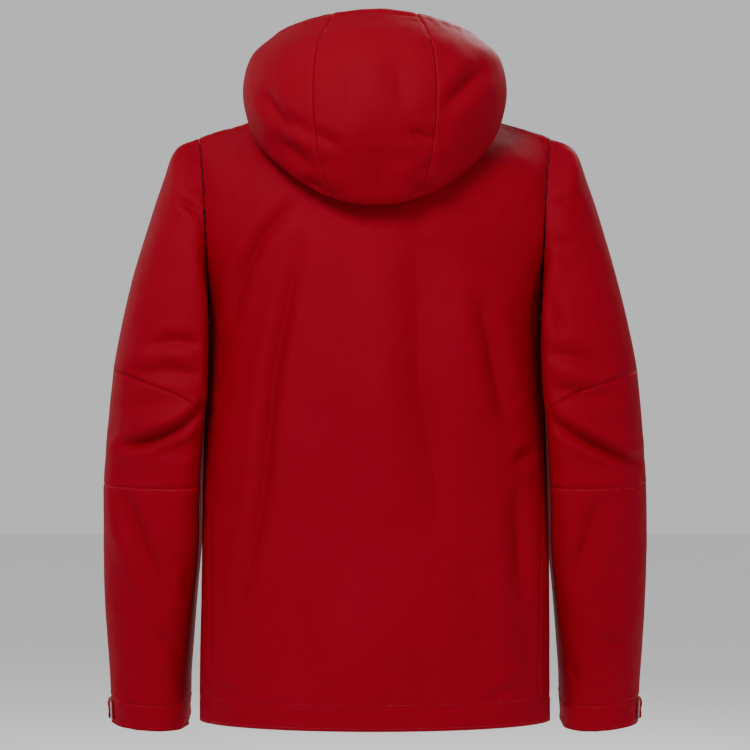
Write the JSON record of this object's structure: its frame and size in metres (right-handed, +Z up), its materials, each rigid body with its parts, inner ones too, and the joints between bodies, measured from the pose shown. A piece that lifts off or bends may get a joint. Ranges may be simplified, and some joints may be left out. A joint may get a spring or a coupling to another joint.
{
  "type": "hardshell jacket",
  "caption": "Hooded waterproof shell jacket: cut fabric panels, folded-down hood, sleeves that swing and bend, working zips, cuff tabs and hem cord locks.",
  "frame": {"origin": "middle of the underside of the hanger loop inside the back neck, where a peg carries the jacket", "axes": "+Z up as worn, -Y towards the front zip, +X towards the wearer's left"},
  "size_m": [0.684, 0.3032, 0.8922],
  "materials": {
    "shell_fabric": "tight plain-woven face with a soft satin sheen",
    "backer_fabric": "fine grey tricot knit",
    "zip_film": "coated woven tape, satin",
    "zip_coil_nylon": "moulded nylon coil, satin",
    "slider_metal": "black painted die casting, satin",
    "pull_plastic": "moulded over-grip, fine grain",
    "cord_lock_plastic": "moulded acetal, fine grain",
    "loop_webbing": "woven webbing",
    "loop_pile": "knitted loop pile",
    "brim_foam": "flexible laminated foam"
  },
  "bodies": {
    "torso": {"back_panel": "shell_fabric", "front_panel_left": "shell_fabric", "front_panel_right": "shell_fabric", "side_panel_left": "shell_fabric", "side_panel_right": "shell_fabric", "hand_zip_tape_left": "zip_film", "hand_zip_tape_right": "zip_film", "chest_zip_tape": "zip_film", "hand_pocket_bag_left": "backer_fabric", "hand_pocket_bag_right": "backer_fabric", "chest_pocket_bag": "backer_fabric", "zip_tape_left": "zip_film", "zip_tape_right": "zip_film", "zip_coil_left": "zip_coil_nylon", "zip_coil_right": "zip_coil_nylon", "zip_box": "pull_plastic", "zip_pin": "pull_plastic", "storm_flap": "shell_fabric", "hem_facing": "shell_fabric", "hem_cord_lock_left": "cord_lock_plastic", "hem_cord_lock_right": "cord_lock_plastic", "hem_eyelet_left": "slider_metal", "hem_eyelet_right": "slider_metal", "collar": "shell_fabric", "collar_lining": "backer_fabric", "chin_guard": "backer_fabric", "hanger_loop": "loop_webbing", "hood_neck": "shell_fabric"},
    "hood": {"hood_center_panel": "shell_fabric", "hood_side_panel_left": "shell_fabric", "hood_side_panel_right": "shell_fabric", "hood_facing": "backer_fabric", "brim_stiffener": "brim_foam"},
    "upper_sleeve_left": {"upper_sleeve_left": "shell_fabric", "elbow_panel_left": "shell_fabric"},
    "lower_sleeve_left": {"lower_sleeve_left": "shell_fabric", "cuff_left": "shell_fabric", "cuff_loop_patch_left": "loop_pile"},
    "cuff_tab_left": {"cuff_tab_left": "shell_fabric"},
    "upper_sleeve_right": {"upper_sleeve_right": "shell_fabric", "elbow_panel_right": "shell_fabric"},
    "lower_sleeve_right": {"lower_sleeve_right": "shell_fabric", "cuff_right": "shell_fabric", "cuff_loop_patch_right": "loop_pile"},
    "cuff_tab_right": {"cuff_tab_right": "shell_fabric"},
    "zip_slider": {"zip_slider": "slider_metal"},
    "zip_pull": {"zip_pull": "pull_plastic"},
    "hand_zip_slider_left": {"hand_zip_slider_left": "slider_metal"},
    "hand_zip_pull_left": {"hand_zip_pull_left": "pull_plastic"},
    "hand_zip_slider_right": {"hand_zip_slider_right": "slider_metal"},
    "hand_zip_pull_right": {"hand_zip_pull_right": "pull_plastic"},
    "chest_zip_slider": {"chest_zip_slider": "slider_metal"},
    "chest_zip_pull": {"chest_zip_pull": "pull_plastic"},
    "hem_cord_lock_button_left": {"hem_cord_lock_button_left": "cord_lock_plastic"},
    "hem_cord_lock_button_right": {"hem_cord_lock_button_right": "cord_lock_plastic"}
  },
  "joints": [
    {"name": "hood_raise", "type": "hinge", "parent": "torso", "child": "hood", "pos_m": [0, -0.0488, 0.03], "axis": [1, 0, 0], "range_deg": [0, 90], "deforming": ["hood_neck"]},
    {"name": "shoulder_left", "type": "hinge", "parent": "torso", "child": "upper_sleeve_left", "pos_m": [0.222, -0.0288, -0.042], "axis": [0, -1, 0], "range_deg": [0, 75]},
    {"name": "elbow_left", "type": "hinge", "parent": "upper_sleeve_left", "child": "lower_sleeve_left", "pos_m": [0.277, -0.0568, -0.411], "axis": [-1, 0, 0], "range_deg": [0, 90], "deforming": ["elbow_panel_left"]},
    {"name": "cuff_tab_left_open", "type": "hinge", "parent": "lower_sleeve_left", "child": "cuff_tab_left", "pos_m": [0.25725, -0.1445, -0.74823], "axis": [0.0365, -0.1225, -0.9918], "range_deg": [0, 100]},
    {"name": "shoulder_right", "type": "hinge", "parent": "torso", "child": "upper_sleeve_right", "pos_m": [-0.222, -0.0288, -0.042], "axis": [0, 1, 0], "range_deg": [0, 75]},
    {"name": "elbow_right", "type": "hinge", "parent": "upper_sleeve_right", "child": "lower_sleeve_right", "pos_m": [-0.277, -0.0568, -0.411], "axis": [-1, 0, 0], "range_deg": [0, 90], "deforming": ["elbow_panel_right"]},
    {"name": "cuff_tab_right_open", "type": "hinge", "parent": "lower_sleeve_right", "child": "cuff_tab_right", "pos_m": [-0.25725, -0.1445, -0.74823], "axis": [0.0365, 0.1225, 0.9918], "range_deg": [0, 100]},
    {"name": "zip_slider_slide", "type": "slide", "parent": "torso", "child": "zip_slider", "axis": [0, -0.0178, -0.9998], "range_m": [0, 0.7481]},
    {"name": "zip_pull_swing", "type": "hinge", "parent": "zip_slider", "child": "zip_pull", "pos_m": [0, -0.13681, 0.01157], "axis": [-1, 0, 0], "range_deg": [0, 170]},
    {"name": "hand_zip_slider_left_slide", "type": "slide", "parent": "torso", "child": "hand_zip_slider_left", "axis": [-0.0223, -0.0341, -0.9992], "range_m": [0, 0.1898]},
    {"name": "hand_zip_pull_left_swing", "type": "hinge", "parent": "hand_zip_slider_left", "child": "hand_zip_pull_left", "pos_m": [0.16224, -0.10589, -0.42405], "axis": [-0.8701, -0.4915, 0.0362], "range_deg": [0, 170]},
    {"name": "hand_zip_slider_right_slide", "type": "slide", "parent": "torso", "child": "hand_zip_slider_right", "axis": [0.0223, -0.0341, -0.9992], "range_m": [0, 0.1898]},
    {"name": "hand_zip_pull_right_swing", "type": "hinge", "parent": "hand_zip_slider_right", "child": "hand_zip_pull_right", "pos_m": [-0.16224, -0.10589, -0.42405], "axis": [-0.8701, 0.4915, -0.0362], "range_deg": [0, 170]},
    {"name": "chest_zip_slider_slide", "type": "slide", "parent": "torso", "child": "chest_zip_slider", "axis": [0.1811, 0.077, -0.9804], "range_m": [0, 0.055]},
    {"name": "chest_zip_pull_swing", "type": "hinge", "parent": "chest_zip_slider", "child": "chest_zip_pull", "pos_m": [0.10038, -0.13014, -0.18323], "axis": [-0.9525, -0.2345, -0.1943], "range_deg": [0, 170]},
    {"name": "hem_cord_lock_button_left_press", "type": "slide", "parent": "torso", "child": "hem_cord_lock_button_left", "axis": [0, 0, -1], "range_m": [0, 0.004], "stiffness_N_per_m": 300},
    {"name": "hem_cord_lock_button_right_press", "type": "slide", "parent": "torso", "child": "hem_cord_lock_button_right", "axis": [0, 0, -1], "range_m": [0, 0.004], "stiffness_N_per_m": 300}
  ]
}
